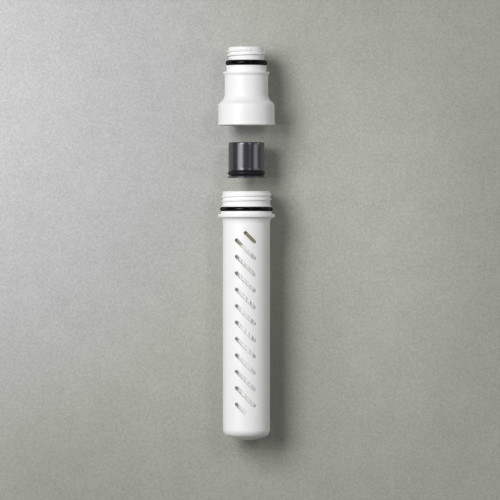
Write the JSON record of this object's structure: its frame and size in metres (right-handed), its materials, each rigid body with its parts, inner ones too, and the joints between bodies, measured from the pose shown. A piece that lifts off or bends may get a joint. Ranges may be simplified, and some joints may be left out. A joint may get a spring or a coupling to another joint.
{
  "type": "two-stage water bottle filter",
  "caption": "Bottle filter drawn out along its axis: threaded nozzle connector, carbon capsule and slotted tube holding looped hollow fibres.",
  "frame": {"origin": "centre of the upper, seating face of the connector's flange, on the filter's axis", "axes": "+Z along the axis towards the nozzle, which is upwards in use; the slotted bands face -Y and +Y"},
  "size_m": [0.0308, 0.0308, 0.2129],
  "materials": {
    "white_plastic": "semi-gloss moulded",
    "black_rubber": "smooth, slightly glossy",
    "dark_plastic": "glossy moulded",
    "carbon": "rough granules",
    "felt": "non-woven",
    "resin": "cast, satin on the cut face",
    "fibre": "matte"
  },
  "bodies": {
    "connector": {"connector_body": "white_plastic", "nozzle_o_ring": "black_rubber"},
    "capsule": {"capsule_shell": "dark_plastic", "capsule_base": "dark_plastic", "capsule_o_ring": "black_rubber", "carbon_bed": "carbon", "outlet_screen": "felt", "inlet_screen": "felt"},
    "neck_seal": {"cartridge_o_ring": "black_rubber"},
    "cartridge": {"cartridge_housing": "white_plastic", "potting_plug": "resin", "fibre_row_01": "fibre", "fibre_row_02": "fibre", "fibre_row_03": "fibre", "fibre_row_04": "fibre", "fibre_row_05": "fibre", "fibre_row_06": "fibre", "fibre_row_07": "fibre", "fibre_row_08": "fibre", "fibre_row_09": "fibre", "fibre_row_10": "fibre", "fibre_row_11": "fibre", "fibre_row_12": "fibre", "fibre_row_13": "fibre"}
  },
  "joints": [
    {"name": "capsule_slide", "type": "slide", "parent": "connector", "child": "capsule", "axis": [0, 0, 1], "range_m": [0, 0.04069]},
    {"name": "seal_slide", "type": "slide", "parent": "capsule", "child": "neck_seal", "axis": [0, 0, 1], "range_m": [0, 0.0072]},
    {"name": "cartridge_screw", "type": "hinge", "parent": "neck_seal", "child": "cartridge", "pos_m": [0, 0, -0.07], "axis": [0, 0, 1], "range_deg": [0, 1080]}
  ],
  "couplings": [
    {"joint": "seal_slide", "follows": "cartridge_screw", "m_per_rad": 0.00038197}
  ]
}
